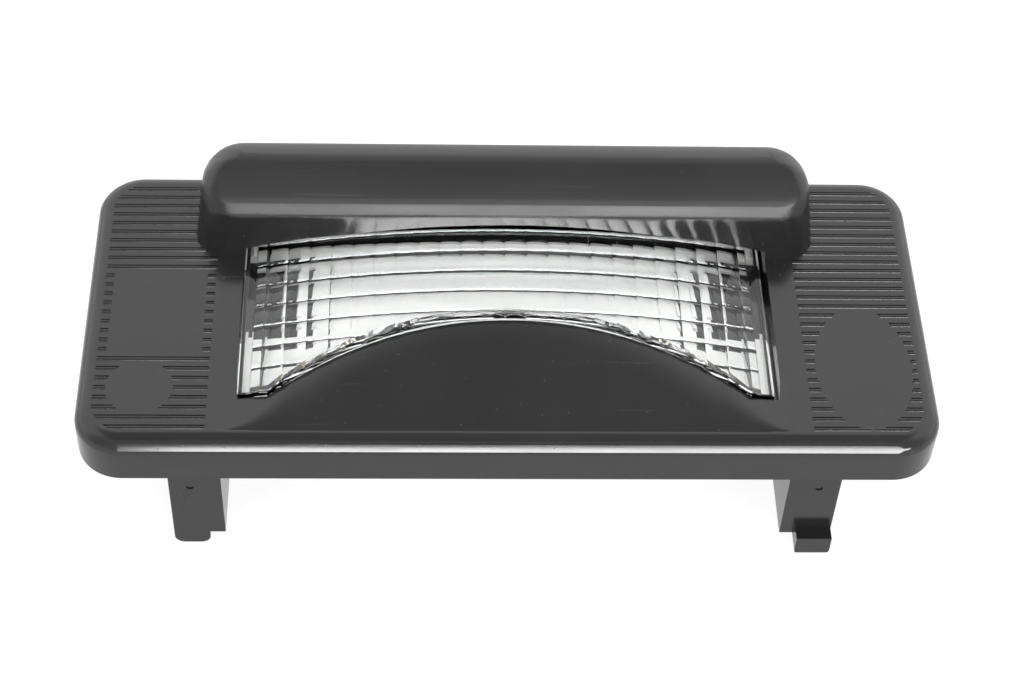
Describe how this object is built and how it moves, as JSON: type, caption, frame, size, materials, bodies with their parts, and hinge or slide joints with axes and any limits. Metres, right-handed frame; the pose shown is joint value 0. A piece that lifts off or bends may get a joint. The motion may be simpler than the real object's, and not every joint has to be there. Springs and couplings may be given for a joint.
{
  "type": "number plate lamp",
  "caption": "Car number plate lamp: black face plate with grooved wings, hood and clip legs, fluted clear lens, and a white carrier with contacts and a festoon bulb.",
  "frame": {"origin": "middle of the face plate seen from above, at the level of the panel's face, which the plate's rim rests on", "axes": "+X runs along the lamp to the leg that carries the catch, +Y runs from the front rim to the hood, +Z points out of the panel"},
  "size_m": [0.1, 0.0426, 0.0371],
  "materials": {
    "black_plastic": "glossy injection-moulded black",
    "clear_plastic": "clear, fluted in columns and rows",
    "white_plastic": "satin moulded white",
    "seal_rubber": "matt",
    "contact_brass": "rolled strip",
    "plated_metal": "bright plated",
    "bulb_glass": "clear blown glass",
    "filament_wire": "bare coiled wire"
  },
  "bodies": {
    "root": {"housing": "black_plastic", "lens": "clear_plastic", "bulb_carrier": "white_plastic", "carrier_seal": "seal_rubber", "contact_left": "contact_brass", "contact_right": "contact_brass", "rivet_left": "plated_metal", "rivet_right": "plated_metal", "bulb_glass": "bulb_glass", "bulb_cap_left": "plated_metal", "bulb_cap_right": "plated_metal", "bulb_filament": "filament_wire"}
  },
  "joints": []
}
